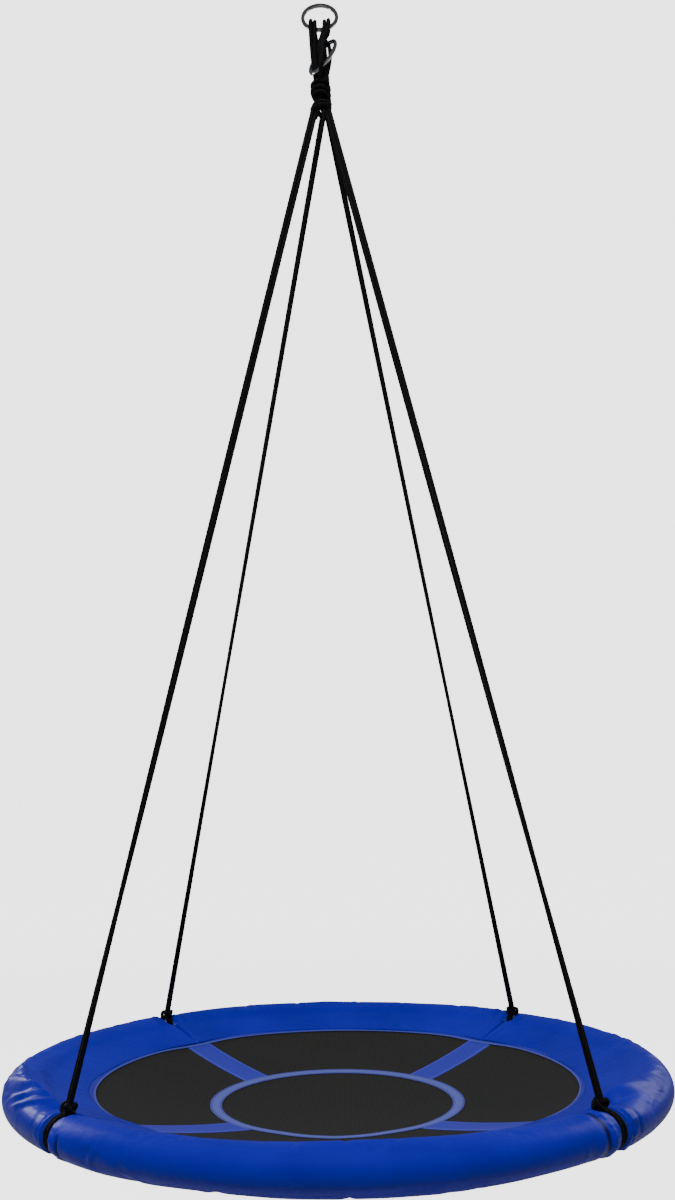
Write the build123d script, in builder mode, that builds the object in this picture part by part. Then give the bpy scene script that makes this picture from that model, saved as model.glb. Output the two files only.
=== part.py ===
"""Saucer nest swing, 1.0 m across, hung from a steel ring on eight strands of black rope.

Frame: millimetres, +Z up, front is -Y. The origin is the point inside the top of the upper
ring where a hook bears. The rim hangs level round a vertical axis a little in front of it.
"""
import os
from math import atan2, cos, degrees, radians, sin, sqrt, tan

from build123d import *

# Driving dimensions, in millimetres and degrees
ring_inner_d = 50.0      # both welded rings
ring_wire_d = 6.0
upper_ring_lean = 15.0   # the upper ring's top leans back
lower_ring_lean = 20.0   # out of upright, its foot towards the front
lower_ring_turn = -45.0  # its plane, and the rope bundle's, turned about Z
lower_ring_drop = 50.5   # centre, below the upper ring's lowest wire
rope_d = 6.0
rope_pitch = 7.4         # from one rope's centre to the next, over the upper ring
rope_gap = 6.4           # from the front strand's centre to the back strand's
hitch_pitch = 6.2        # between the two turns of a hitch round the rim's tube
loop_r = 8.6             # a rope's centreline, where it goes over the upper ring's wire
bight_r = 7.4            # and where the small bight goes round the lower ring
knot_drop = 101.0        # centre of the head knot's round top
knot_r = 17.0
body_gap = 0.3           # between bodies that turn on each other
rim_drop = 1690.0        # rim centre, below the upper ring's lowest wire
saucer_d = 1000.0
rim_r = 25.0             # padded rim, outside of the cover
tube_r = 14.0
tube_wall = 1.2
cover_t = 1.2
mesh_seam_r = 378.0      # where the cover's skirt ends
mesh_edge_drop = 12.5
mesh_sag = 50.0
mesh_t = 1.2
hoop_r_out = 198.0       # blue tape circle on the mesh
hoop_w = 18.0
spoke_w = 50.0
tape_t = 0.9
slot_half = 14.4         # half of the gap in cover and foam where a rope goes round the tube

# Derived places
wire_r = ring_wire_d / 2
rope_r = rope_d / 2
ring_r = ring_inner_d / 2 + wire_r
bearing = ring_inner_d + wire_r
axis_y = -bearing * sin(radians(upper_ring_lean))
wire_z = -bearing * cos(radians(upper_ring_lean))
rim_z = wire_z - rim_drop
tube_path_r = saucer_d / 2 - rim_r
knot_z = wire_z - knot_drop
corners = {"front_left": 225, "front_right": 315, "rear_right": 45, "rear_left": 135}

os.makedirs("parts", exist_ok=True)


def save(part, name):
    part.label = name
    export_step(part, f"parts/{name}.step")


def about(azimuth, radius, z):
    """A point at this azimuth and radius from the swing's axis, and this height."""
    angle = radians(azimuth)
    return Vector(radius * cos(angle), axis_y + radius * sin(angle), z)


def corner_radii(points, largest):
    """One radius for each corner: 0.45 of the shorter run over the tangent of half the turn."""
    radii = []
    for before, here, after in zip(points, points[1:], points[2:]):
        turn = (here - before).get_angle(after - here)
        shorter = min((here - before).length, (after - here).length)
        radii.append(min(largest, 0.45 * shorter / tan(radians(turn / 2))))
    return radii


def rope_frame(start, towards):
    """The plane across a rope at its first point."""
    return Plane(origin=start, z_dir=(towards - start))


# ---------------------------------------------------------------- steel rings
# The upper ring's plane holds X and leans back; its lowest wire is on the swing's axis.
lean = radians(upper_ring_lean)
upper_centre = Vector(0, axis_y + ring_r * sin(lean), wire_z + ring_r * cos(lean))
upper_plane = Plane(origin=upper_centre, x_dir=(1, 0, 0), z_dir=(0, -cos(lean), sin(lean)))
with BuildPart() as upper_ring:
    with BuildSketch(Plane(origin=upper_plane.from_local_coords((ring_r, 0, 0)),
                           x_dir=upper_plane.x_dir, z_dir=upper_plane.y_dir)):
        Circle(wire_r)
    revolve(axis=Axis(upper_centre, upper_plane.z_dir))
save(upper_ring.part, "upper_ring")

# The rope bundle's own directions at the lower ring: columns run along side, layers along deep.
turn = radians(lower_ring_turn)
side = Vector(cos(turn), sin(turn), 0)
deep = Vector(-sin(turn), cos(turn), 0)
lower_shift = 6.0        # the lower ring's centre, along side
lower_centre = Vector(0, axis_y, wire_z - lower_ring_drop) + side * lower_shift
foot = radians(lower_ring_lean)
lower_plane = Plane(origin=lower_centre, x_dir=side,
                    z_dir=(deep * cos(foot) - Vector(0, 0, 1) * sin(foot)))
with BuildPart() as lower_ring:
    with BuildSketch(Plane(origin=lower_plane.from_local_coords((ring_r, 0, 0)),
                           x_dir=lower_plane.x_dir, z_dir=lower_plane.y_dir)):
        Circle(wire_r)
    revolve(axis=Axis(lower_centre, lower_plane.z_dir))
save(lower_ring.part, "lower_ring")


# ---------------------------------------------------------------- rope bundle over the upper ring
# Stations of the bundle below the wire: drop, shift of the bundle along deep, pitch of the
# columns. The bundle passes in front of the lower ring's top and behind its foot.
front_stations = [(97, 3.5, 6.5), (75, 2.9, 6.9), (53.5, 0.0, 7.4), (33.5, -3.2, 7.6)]
back_stations = [(97, 3.5, 6.5), (72, 2.2, 6.9), (47.5, -1.2, 7.4), (22, -3.2, 7.6)]


def bundle_point(column, layer, drop, shift, pitch):
    """A strand's place in the bundle: column -1.5 to 1.5, layer -1 in front or 1 behind."""
    across = side * (column * pitch)
    through = deep * (layer * rope_gap / 2 + shift)
    return Vector(0, axis_y, wire_z - drop) + across + through


def head_loop_points(column):
    """Up from the head knot in front, over the upper ring's wire, and down behind."""
    x = (column + (0.5 if column > 0 else -0.5)) * rope_pitch
    rise = ring_r - sqrt(ring_r**2 - x**2)
    wire_here = Vector(x, axis_y + rise * sin(lean), wire_z + rise * cos(lean))
    front = [bundle_point(column, -1, *station) for station in front_stations]
    front.append(wire_here + Vector(0.07 * x, -loop_r, -3))
    front.append(wire_here + Vector(0, -loop_r, loop_r))
    back = [bundle_point(column, 1, *station) for station in back_stations]
    back.append(wire_here + Vector(0, loop_r, -3))
    back.append(wire_here + Vector(0, loop_r, loop_r))
    return front + back[::-1]


columns = {"head_loop_front_left": -1.5, "head_loop_rear_left": -0.5,
           "head_loop_rear_right": 0.5, "head_loop_front_right": 1.5}
for name, column in columns.items():
    route = head_loop_points(column)
    radii = corner_radii(route, 40.0)
    print(name, "radii", [round(r, 1) for r in radii])
    with BuildPart() as head_loop:
        with BuildLine() as line:
            FilletPolyline(*route, radius=radii)
        with BuildSketch(rope_frame(route[0], route[1])):
            Circle(rope_r)
        sweep(path=line.wires()[0])
        with Locations((0, axis_y, knot_z)):
            Sphere(knot_r + body_gap, mode=Mode.SUBTRACT)
    save(head_loop.part, name)


def bight_point(across, through, drop):
    return Vector(0, axis_y, wire_z - drop) + side * across + deep * through


# A small bight of rope round the lower ring's lower right side ties the ring to the knot.
bight_route = [bight_point(8, -9.5, 98), bight_point(19.5, -17.5, 83),
               bight_point(22.5, -16.5, 62), bight_point(22, -14.6, 38.5),
               bight_point(22, 1, 38.5), bight_point(22, 1.5, 71), bight_point(14, -3.5, 99)]
bight_radii = corner_radii(bight_route, 40.0)
bight_radii[2] = bight_radii[3] = bight_r
print("ring_bight radii", [round(r, 1) for r in bight_radii])
with BuildPart() as ring_bight:
    with BuildLine() as line:
        FilletPolyline(*bight_route, radius=bight_radii)
    with BuildSketch(rope_frame(bight_route[0], bight_route[1])):
        Circle(rope_r)
    sweep(path=line.wires()[0])
    with Locations((0, axis_y, knot_z)):
        Sphere(knot_r + body_gap, mode=Mode.SUBTRACT)
save(ring_bight.part, "ring_bight")

# ---------------------------------------------------------------- knots at the head
head_knot_low = knot_z - 24
with BuildPart() as head_knot:
    with Locations((0, axis_y, knot_z)):
        Sphere(knot_r)
    with BuildSketch(Plane.XY.offset(head_knot_low)):
        with Locations((0, axis_y)):
            Circle(knot_r - 2)
    extrude(amount=20)
    split(bisect_by=Plane.XY.offset(head_knot_low), keep=Keep.TOP)
save(head_knot.part, "head_knot")

hanger_knot_h = 17.0
hanger_knot_top = head_knot_low - body_gap
hanger_top = hanger_knot_top - hanger_knot_h
with BuildPart() as hanger_knot:
    with BuildSketch(Plane.XY.offset(hanger_top)):
        with Locations((0, axis_y)):
            Circle(19)
    extrude(amount=hanger_knot_h)
    fillet(hanger_knot.edges().group_by(Axis.Z)[-1], radius=4)
save(hanger_knot.part, "hanger_knot")

# ---------------------------------------------------------------- hangers, two taut strands each
hitch_z = rim_z + rim_r + 5.0    # top of the knot on the rim
hitch_radius = tube_path_r - 7.0
# In plan: each hanger's top, and how far its strands stand from its middle there and at the rim.
hanger_plans = {"front_left": [(-11, -6), (4.4, 1.85), (-2.1, 4.15)],
                "front_right": [(10.8, -6.6), (4.4, -1.85), (-2.1, -4.15)],
                "rear_right": [(10.5, 5), (2.75, 3.25), (-1.75, 3.25)],
                "rear_left": [(2, 11), (2.75, -3.25), (-1.75, -3.25)]}
for corner, azimuth in corners.items():
    plan_top, top_step, low_step = hanger_plans[corner]
    top = Vector(plan_top[0], axis_y + plan_top[1], hanger_top)
    low = about(azimuth, hitch_radius, hitch_z)
    for strand, sign in (("a", 1), ("b", -1)):
        start = top + Vector(*top_step, 0) * sign
        end = low + Vector(*low_step, 0) * sign
        with BuildPart() as hanger:
            with BuildSketch(rope_frame(start, end)):
                Circle(rope_r)
            extrude(amount=(end - start).length)
            with BuildSketch(Plane.XY.offset(hanger_top)):
                with Locations((0, axis_y)):
                    Circle(60)
            extrude(amount=30, mode=Mode.SUBTRACT)
            with BuildSketch(Plane.XY.offset(hitch_z - 20)):
                with Locations((low.X, low.Y)):
                    Circle(60)
            extrude(amount=20, mode=Mode.SUBTRACT)
        print("hanger", corner, strand, "length", round((end - start).length, 1))
        save(hanger.part, f"hanger_{corner}_{strand}")

# ---------------------------------------------------------------- rope hitches on the rim
wrap_r = tube_r + rope_r + 0.2
hitch_low = rim_z + wrap_r + rope_r + 0.1
for corner, azimuth in corners.items():
    centre = about(azimuth, tube_path_r, rim_z)
    along = about(azimuth + 90, 1, 0) - about(0, 0, 0)
    with BuildPart() as rim_hitch:
        for shift in (-hitch_pitch / 2, hitch_pitch / 2):
            wrap_centre = centre + along * shift
            wrap_plane = Plane(origin=wrap_centre, x_dir=(0, 0, 1), z_dir=along)
            with BuildSketch(Plane(origin=wrap_plane.from_local_coords((wrap_r, 0, 0)),
                                   x_dir=(0, 0, 1), z_dir=wrap_plane.y_dir)):
                Circle(rope_r)
            revolve(axis=Axis(wrap_centre, along))
    save(rim_hitch.part, f"rim_hitch_{corner}")
    knot_centre = about(azimuth, hitch_radius, 0)
    with BuildPart() as rim_knot:
        with BuildSketch(Plane(origin=(knot_centre.X, knot_centre.Y, hitch_low),
                               x_dir=along, z_dir=(0, 0, 1))):
            SlotOverall(28, 15)
        extrude(amount=hitch_z - hitch_low)
        fillet(rim_knot.edges().group_by(Axis.Z)[-1], radius=2)
    save(rim_knot.part, f"rim_knot_{corner}")


# ---------------------------------------------------------------- steel frame of the rim
swing_axis = Axis((0, axis_y, 0), (0, 0, 1))


def rim_plane(azimuth):
    """The plane across the rim at this azimuth: x runs outward, y up, on the swing's axis."""
    angle = radians(azimuth)
    return Plane(origin=(0, axis_y, rim_z), x_dir=(cos(angle), sin(angle), 0),
                 z_dir=(sin(angle), -cos(angle), 0))


joint_len = 38.0                 # how far a segment's swaged end goes into the next one
joint_angle = degrees(joint_len / tube_path_r)
spigot_r = tube_r - tube_wall - 0.1
screw_r = 2.5
screw_head_r = 4.5
screw_head_h = 2.4
sides = {"front": 225, "right": 315, "rear": 45, "left": 135}
# Each tube segment spans one corner, so they meet at the middle of the sides.
segments = {"front_left": 180, "front_right": 270, "rear_right": 0, "rear_left": 90}
hairline = 0.02                  # degrees between neighbouring segments
for corner, first in segments.items():
    with BuildPart() as tube:
        with BuildSketch(rim_plane(first + hairline)):
            with Locations((tube_path_r, 0)):
                Circle(tube_r)
                Circle(tube_r - tube_wall, mode=Mode.SUBTRACT)
        revolve(axis=swing_axis, revolution_arc=90 - 2 * hairline)
        with BuildSketch(rim_plane(first - joint_angle)):
            with Locations((tube_path_r, 0)):
                Circle(spigot_r)
                Circle(spigot_r - tube_wall, mode=Mode.SUBTRACT)
        revolve(axis=swing_axis, revolution_arc=joint_angle + 1)
        with BuildSketch(rim_plane(first + hairline)):
            with Locations((tube_path_r, 0)):
                Circle(tube_r - 0.5)
                Circle(spigot_r - tube_wall, mode=Mode.SUBTRACT)
        revolve(axis=swing_axis, revolution_arc=0.4)
        for end in (first, first + 90):
            hole = about(end - joint_angle / 2, tube_path_r, rim_z - tube_r)
            with Locations(hole):
                Cylinder(screw_r + 0.1, 14, mode=Mode.SUBTRACT)
    save(tube.part, f"rim_tube_{corner}")

with BuildPart() as frame_screws:
    for first in segments.values():
        place = about(first - joint_angle / 2, tube_path_r, rim_z - tube_r)
        with Locations(place - Vector(0, 0, screw_head_h / 2 + 0.1)):
            Cylinder(screw_head_r, screw_head_h)
        with Locations(place + Vector(0, 0, 2.2)):
            Cylinder(screw_r, 5)
save(frame_screws.part, "frame_screws")

# ---------------------------------------------------------------- foam and covers of the rim
slot_angle = degrees(slot_half / tube_path_r)
for side_name, first in sides.items():
    with BuildPart() as foam:
        with BuildSketch(rim_plane(first + slot_angle)):
            with Locations((tube_path_r, 0)):
                Circle(rim_r - cover_t - 0.2)
                Circle(tube_r + 0.1, mode=Mode.SUBTRACT)
        revolve(axis=swing_axis, revolution_arc=90 - 2 * slot_angle)
        pocket = about(first + 45 - joint_angle / 2, tube_path_r, rim_z - tube_r - 2)
        with Locations(pocket):
            Cylinder(screw_head_r + 0.5, 6, mode=Mode.SUBTRACT)
    save(foam.part, f"foam_{side_name}")


def tangent_point(x, y, sign):
    """Where a line from (x, y) touches the rim's circle, above for +1 or below for -1."""
    dx = tube_path_r - x
    reach = sqrt(dx**2 + y**2)
    bearing_angle = atan2(-y, dx)
    half = atan2(rim_r, sqrt(reach**2 - rim_r**2))
    length = sqrt(reach**2 - rim_r**2)
    angle = bearing_angle + sign * half
    return x + length * cos(angle), y + length * sin(angle)


# The cover is drop-shaped in section: round over the foam, then two layers down to the seam.
tip_half = 2.4
tip_x = mesh_seam_r + 0.1
tip_up = -mesh_edge_drop + tip_half
tip_down = -mesh_edge_drop - tip_half
touch_up = tangent_point(tip_x, tip_up, 1)
touch_down = tangent_point(tip_x, tip_down, -1)
for side_name, first in sides.items():
    with BuildPart() as cover:
        with BuildSketch(rim_plane(first + hairline)):
            with BuildLine():
                Polyline(touch_down, (tip_x, tip_down), (tip_x, tip_up), touch_up)
                ThreePointArc(touch_up, (tube_path_r + rim_r, 0), touch_down)
            make_face()
            offset(amount=-cover_t, mode=Mode.SUBTRACT)
        revolve(axis=swing_axis, revolution_arc=90 - 2 * hairline)
        for azimuth in (first, first + 90):
            with BuildSketch(rim_plane(azimuth)):
                with Locations((tube_path_r, 0)):
                    Rectangle(2 * (rim_r + 8), 2 * (rim_r + 3))
            extrude(amount=slot_half, both=True, mode=Mode.SUBTRACT)
    save(cover.part, f"cover_{side_name}")

# ---------------------------------------------------------------- mesh seat and its tapes
bowl_r = (mesh_seam_r**2 + mesh_sag**2) / (2 * mesh_sag)
bowl_centre = -mesh_edge_drop - mesh_sag + bowl_r


def bowl_arc(first_r, last_r, height):
    """Points of an arc of the bowl, lifted by height, from one radius to another."""
    sphere = bowl_r - height
    angles = [first_r / bowl_r, (first_r + last_r) / 2 / bowl_r, last_r / bowl_r]
    return [(sphere * sin(a), bowl_centre - sphere * cos(a)) for a in angles]


binding_w = 11.0
# Name, inner and outer radius, and heights over the bowl's upper face of what goes all round.
rounds = [("mesh_seat", 0, mesh_seam_r, -mesh_t, 0),
          ("seat_binding", mesh_seam_r - binding_w, mesh_seam_r, 0.1, 0.1 + tape_t),
          ("tape_hoop", hoop_r_out - hoop_w, hoop_r_out, 0.1, 0.1 + tape_t)]
for name, inner, outer, low, high in rounds:
    under = bowl_arc(inner, outer, low)
    over = bowl_arc(inner, outer, high)
    with BuildPart() as round_piece:
        with BuildSketch(rim_plane(0)):
            with BuildLine():
                ThreePointArc(*under)
                Line(under[2], over[2])
                ThreePointArc(*over[::-1])
                Line(over[0], under[0])
            make_face()
        revolve(axis=swing_axis)
    save(round_piece.part, name)

spoke_first = hoop_r_out + 0.3
spoke_last = mesh_seam_r - binding_w - 0.3
spoke_under = bowl_arc(spoke_first, spoke_last, 0.1)
spoke_over = bowl_arc(spoke_first, spoke_last, 0.1 + tape_t)
for corner, azimuth in corners.items():
    with BuildPart() as spoke:
        with BuildSketch(rim_plane(azimuth - 15)):
            with BuildLine():
                ThreePointArc(*spoke_under)
                Line(spoke_under[2], spoke_over[2])
                ThreePointArc(*spoke_over[::-1])
                Line(spoke_over[0], spoke_under[0])
            make_face()
        revolve(axis=swing_axis, revolution_arc=30)
        with BuildSketch(rim_plane(azimuth)):
            with Locations(((spoke_first + spoke_last) / 2, 0)):
                Rectangle(spoke_last - spoke_first + 60, 200)
        extrude(amount=spoke_w / 2, both=True, mode=Mode.INTERSECT)
    save(spoke.part, f"tape_spoke_{corner}")
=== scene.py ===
"""Looks of a saucer nest swing: fabric rim, mesh seat with tapes, braided ropes, steel rings.

Lengths are in metres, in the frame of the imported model: +Z up, front is -Y, and the origin is
where a hook bears inside the top of the upper ring.
"""
import math
import random

import bpy
import numpy as np
from mathutils import Matrix, Vector


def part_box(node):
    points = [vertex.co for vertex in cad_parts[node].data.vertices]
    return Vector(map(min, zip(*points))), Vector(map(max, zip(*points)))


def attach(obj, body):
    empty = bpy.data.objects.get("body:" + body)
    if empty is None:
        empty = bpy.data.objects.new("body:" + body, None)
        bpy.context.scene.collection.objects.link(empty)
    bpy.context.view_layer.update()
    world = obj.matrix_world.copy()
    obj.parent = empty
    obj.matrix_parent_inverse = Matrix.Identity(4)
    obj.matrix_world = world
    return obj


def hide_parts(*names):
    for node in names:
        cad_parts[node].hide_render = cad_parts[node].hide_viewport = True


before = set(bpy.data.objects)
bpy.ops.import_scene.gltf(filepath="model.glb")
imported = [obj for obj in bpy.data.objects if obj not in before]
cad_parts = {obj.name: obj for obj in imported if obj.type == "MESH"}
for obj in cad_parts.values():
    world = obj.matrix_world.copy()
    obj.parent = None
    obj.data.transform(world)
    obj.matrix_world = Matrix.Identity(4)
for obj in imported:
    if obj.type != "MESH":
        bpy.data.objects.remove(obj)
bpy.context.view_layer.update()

MM = 0.001
UP = Vector((0, 0, 1))

# ---------------------------------------------------------------- sizes
# From the frame: the swing's vertical axis, and the level of the rim's middle.
rim_low, rim_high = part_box("cover_front")
seat_low, seat_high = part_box("mesh_seat")
AXIS = Vector(((seat_low.x + seat_high.x) / 2, (seat_low.y + seat_high.y) / 2, 0))
RIM_Z = (rim_low.z + rim_high.z) / 2

# The rings: middle radius of one, its lean, and the level of the upper one's lowest wire.
RING_R = 28 * MM
LEAN = math.radians(15)
HOOK_TO_WIRE = 53 * MM
WIRE_Z = -HOOK_TO_WIRE * math.cos(LEAN)

# The rim: radius of its padding, and of the path that the tube is bent along.
RIM_R = 25 * MM
TUBE_PATH_R = 475 * MM

# The seat: its seam's radius and drop below the rim's middle, and how far its middle sags.
SEAM_R = 378 * MM
EDGE_DROP = 12.5 * MM
SAG = 50 * MM
HOOP_OUT = 198 * MM
HOOP_W = 18 * MM
SPOKE_W = 50 * MM

# The ropes, and how they lie over the upper ring: columns apart, layers apart, bend's radius.
ROPE_D = 6 * MM
ROPE_R = ROPE_D / 2
PITCH = 7.4 * MM
LAYER_GAP = 6.4 * MM
LOOP_R = 8.6 * MM
HANGER_TOP_DROP = 142.3 * MM

# Azimuths in degrees, of the rope points and of the end that each cover section begins at.
CORNERS = {"front_left": 225, "front_right": 315, "rear_right": 45, "rear_left": 135}
SIDES = {"front": 225, "right": 315, "rear": 45, "left": 135}


def about(azimuth, radius, z):
    """The point at this azimuth, in degrees, and radius from the swing's axis."""
    a = math.radians(azimuth)
    return AXIS + Vector((radius * math.cos(a), radius * math.sin(a), z))


# ---------------------------------------------------------------- node helpers
# A Mix node has sockets of the same name for each kind of value: these are the colour ones.
MIX_A, MIX_B, MIX_RESULT = 6, 7, 2


class Shader:
    """A material under construction: its node tree, with short ways to add nodes to it."""

    def __init__(self, name, color, roughness, metallic=0.0):
        self.material = bpy.data.materials.new(name)
        self.material.use_nodes = True
        self.tree = self.material.node_tree
        self.bsdf = self.tree.nodes["Principled BSDF"]
        self.set("Base Color", (*color, 1))
        self.set("Roughness", roughness)
        self.set("Metallic", metallic)
        self.material.diffuse_color = (*color, 1)

    def set(self, socket, value):
        self.bsdf.inputs[socket].default_value = value

    def node(self, kind, **settings):
        made = self.tree.nodes.new(kind)
        for key, value in settings.items():
            setattr(made, key, value)
        return made

    def link(self, source, target):
        self.tree.links.new(source, target)

    def coordinates(self, scale=(1, 1, 1)):
        """Object coordinates, scaled."""
        source = self.node("ShaderNodeTexCoord")
        mapping = self.node("ShaderNodeMapping")
        mapping.inputs["Scale"].default_value = scale
        self.link(source.outputs["Object"], mapping.inputs["Vector"])
        return mapping.outputs["Vector"]

    def noise(self, vector, scale, detail):
        """Cloudy noise from 0 to 1."""
        made = self.node("ShaderNodeTexNoise")
        made.inputs["Scale"].default_value = scale
        made.inputs["Detail"].default_value = detail
        self.link(vector, made.inputs["Vector"])
        return made.outputs["Fac"]

    def wave(self, vector, scale, direction="X", distortion=0.0):
        """Parallel bands from 0 to 1, across a direction."""
        made = self.node("ShaderNodeTexWave", wave_type="BANDS", bands_direction=direction)
        made.inputs["Scale"].default_value = scale
        made.inputs["Distortion"].default_value = distortion
        self.link(vector, made.inputs["Vector"])
        return made.outputs["Fac"]

    def math(self, operation, a, b):
        made = self.node("ShaderNodeMath", operation=operation)
        self.link(a, made.inputs[0])
        self.link(b, made.inputs[1])
        return made.outputs["Value"]

    def attribute(self, name):
        """A piece's own value for each point, 0 where it has none."""
        return self.node("ShaderNodeAttribute", attribute_name=name).outputs["Fac"]

    def ramp(self, factor, stops):
        """A colour ramp: stops are (position, colour)."""
        made = self.node("ShaderNodeValToRGB")
        elements = made.color_ramp.elements
        while len(elements) < len(stops):
            elements.new(0.5)
        for element, (position, color) in zip(elements, stops):
            element.position = position
            element.color = (*color, 1)
        self.link(factor, made.inputs["Fac"])
        return made.outputs["Color"]

    def mix(self, factor, a, b):
        """From a to b as the factor rises; each is a colour or a socket."""
        made = self.node("ShaderNodeMix", data_type="RGBA")
        self.link(factor, made.inputs["Factor"])
        for socket, value in zip((made.inputs[MIX_A], made.inputs[MIX_B]), (a, b)):
            if isinstance(value, tuple):
                socket.default_value = (*value, 1)
            else:
                self.link(value, socket)
        return made.outputs[MIX_RESULT]

    def range(self, factor, low, high):
        """A factor from 0 to 1, made to run from low to high."""
        made = self.node("ShaderNodeMapRange")
        made.inputs["To Min"].default_value = low
        made.inputs["To Max"].default_value = high
        self.link(factor, made.inputs["Value"])
        return made.outputs["Result"]

    def bump(self, height, strength, distance, under=None):
        """A normal, bumped by a height, on top of another bump if there is one."""
        made = self.node("ShaderNodeBump")
        made.inputs["Strength"].default_value = strength
        made.inputs["Distance"].default_value = distance
        self.link(height, made.inputs["Height"])
        if under is not None:
            self.link(under, made.inputs["Normal"])
        return made.outputs["Normal"]


def cover_fabric():
    """Glossy woven polyester: uneven blue, paler hems, painted shade in grooves, crinkle, weave.
    """
    s = Shader("cover_fabric", (0.011, 0.006, 0.42), 0.4)
    place = s.coordinates()
    cloudy = s.noise(place, 9, 4)
    thread = s.noise(place, 900, 2)
    tone = s.ramp(cloudy, [(0.3, (0.009, 0.005, 0.36)), (0.7, (0.014, 0.009, 0.48))])
    pale = s.mix(s.range(thread, 0.0, 0.25), tone, (0.035, 0.035, 0.62))
    hemmed = s.mix(s.attribute("edge"), pale, (0.10, 0.12, 0.60))
    # Painted shade: the colour goes dark blue in the creases and grooves that the cover marks.
    crease_shaded = s.mix(s.attribute("crease_shade"), hemmed, (0.002, 0.001, 0.06))
    s.link(crease_shaded, s.bsdf.inputs["Base Color"])
    s.link(s.range(cloudy, 0.34, 0.48), s.bsdf.inputs["Roughness"])
    s.set("Specular IOR Level", 0.42)
    s.set("Specular Tint", (0.30, 0.42, 1.0, 1))
    s.set("Sheen Weight", 0.04)
    s.set("Sheen Roughness", 0.4)
    s.set("Sheen Tint", (0.5, 0.6, 1.0, 1))
    crinkle = s.bump(s.noise(place, 38, 3), 0.5, 2.5 * MM)
    weave = s.math("MAXIMUM", s.wave(place, 310, "X"), s.wave(place, 310, "Y"))
    s.link(s.bump(weave, 0.10, 0.3 * MM, crinkle), s.bsdf.inputs["Normal"])
    return s.material


def seat_mesh_fabric():
    """Coated mesh: ribs and holes, with broad streaks and patches."""
    s = Shader("seat_mesh_fabric", (0.03, 0.03, 0.03), 0.6)
    place = s.coordinates()
    ribs = s.wave(place, 85, "X", 0.5)
    rows = s.wave(place, 130, "Y")
    holes = s.math("MULTIPLY", ribs, rows)
    broad = s.noise(s.coordinates((1, 0.10, 1)), 70, 3)
    patches = s.noise(place, 7, 2)
    tone = s.ramp(holes, [(0.0, (0.014, 0.014, 0.014)), (0.8, (0.050, 0.049, 0.048))])
    streaked = s.mix(s.range(broad, 0.0, 0.7), tone, (0.022, 0.024, 0.020))
    mixed = s.mix(s.range(patches, 0.0, 0.4), streaked, (0.036, 0.034, 0.028))
    s.link(mixed, s.bsdf.inputs["Base Color"])
    s.link(s.range(holes, 0.70, 0.52), s.bsdf.inputs["Roughness"])
    s.set("Specular IOR Level", 0.25)
    s.link(s.bump(holes, 0.6, 0.6 * MM), s.bsdf.inputs["Normal"])
    return s.material


def tape_webbing(name, dark, light, edge):
    """Ribbed tape, with a line of another colour where its edge attribute says."""
    s = Shader(name, light, 0.6)
    place = s.coordinates()
    ribs = s.wave(place, 120, "X")
    fine = s.noise(place, 500, 2)
    tone = s.mix(s.range(ribs, 0.1, 0.75), dark, light)
    worn = s.mix(s.range(fine, 0.0, 0.3), tone, light)
    stitched = s.mix(s.attribute("edge"), worn, edge)
    s.link(stitched, s.bsdf.inputs["Base Color"])
    s.link(s.range(fine, 0.5, 0.7), s.bsdf.inputs["Roughness"])
    s.set("Specular IOR Level", 0.25)
    s.set("Sheen Weight", 0.05)
    s.link(s.bump(ribs, 0.4, 0.4 * MM), s.bsdf.inputs["Normal"])
    return s.material


def rope_yarn():
    """Black braid: the weave attribute says how high a yarn stands; low ones get painted shade."""
    s = Shader("rope_yarn", (0.012, 0.012, 0.014), 0.62)
    weave = s.attribute("weave")
    fuzz = s.noise(s.coordinates(), 700, 3)
    # Painted shade: darker where the yarns lie low between others.
    tone = s.ramp(weave, [(0.25, (0.002, 0.002, 0.002)), (0.9, (0.008, 0.008, 0.009))])
    yarn = s.mix(s.range(fuzz, 0.0, 0.4), tone, (0.010, 0.010, 0.011))
    s.link(yarn, s.bsdf.inputs["Base Color"])
    s.link(s.range(weave, 0.8, 0.55), s.bsdf.inputs["Roughness"])
    s.set("Specular IOR Level", 0.10)
    s.link(s.bump(fuzz, 0.5, 0.3 * MM), s.bsdf.inputs["Normal"])
    return s.material


def polished_steel():
    s = Shader("polished_steel", (0.5, 0.5, 0.51), 0.2, 1.0)
    smudge = s.noise(s.coordinates(), 90, 4)
    brushed = s.noise(s.coordinates((1, 1, 6)), 260, 2)
    s.link(s.range(smudge, 0.10, 0.30), s.bsdf.inputs["Roughness"])
    tone = s.ramp(smudge, [(0.3, (0.38, 0.38, 0.39)), (0.75, (0.62, 0.62, 0.63))])
    s.link(tone, s.bsdf.inputs["Base Color"])
    s.link(s.bump(brushed, 0.08, 0.1 * MM), s.bsdf.inputs["Normal"])
    return s.material


def galvanised_steel():
    s = Shader("galvanised_steel", (0.55, 0.57, 0.58), 0.42, 0.9)
    spangle = s.noise(s.coordinates(), 120, 2)
    tone = s.ramp(spangle, [(0.35, (0.42, 0.44, 0.45)), (0.7, (0.62, 0.64, 0.65))])
    s.link(tone, s.bsdf.inputs["Base Color"])
    s.link(s.range(spangle, 0.35, 0.5), s.bsdf.inputs["Roughness"])
    return s.material


def grey_foam():
    s = Shader("grey_foam", (0.35, 0.36, 0.38), 0.9)
    pores = s.noise(s.coordinates(), 800, 3)
    tone = s.ramp(pores, [(0.35, (0.24, 0.25, 0.27)), (0.65, (0.42, 0.43, 0.45))])
    s.link(tone, s.bsdf.inputs["Base Color"])
    s.link(s.bump(pores, 0.6, 0.5 * MM), s.bsdf.inputs["Normal"])
    return s.material


# How strongly the white behind the swing glows for the camera, and the floor: as strongly from
# FAR on, and less inside NEAR. Everything but the camera sees a much dimmer room.
WHITE_GLOW, FLOOR_GLOW, ROOM_GLOW = 3.1, 2.7, 0.12
NEAR, FAR = 1, 9


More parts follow.
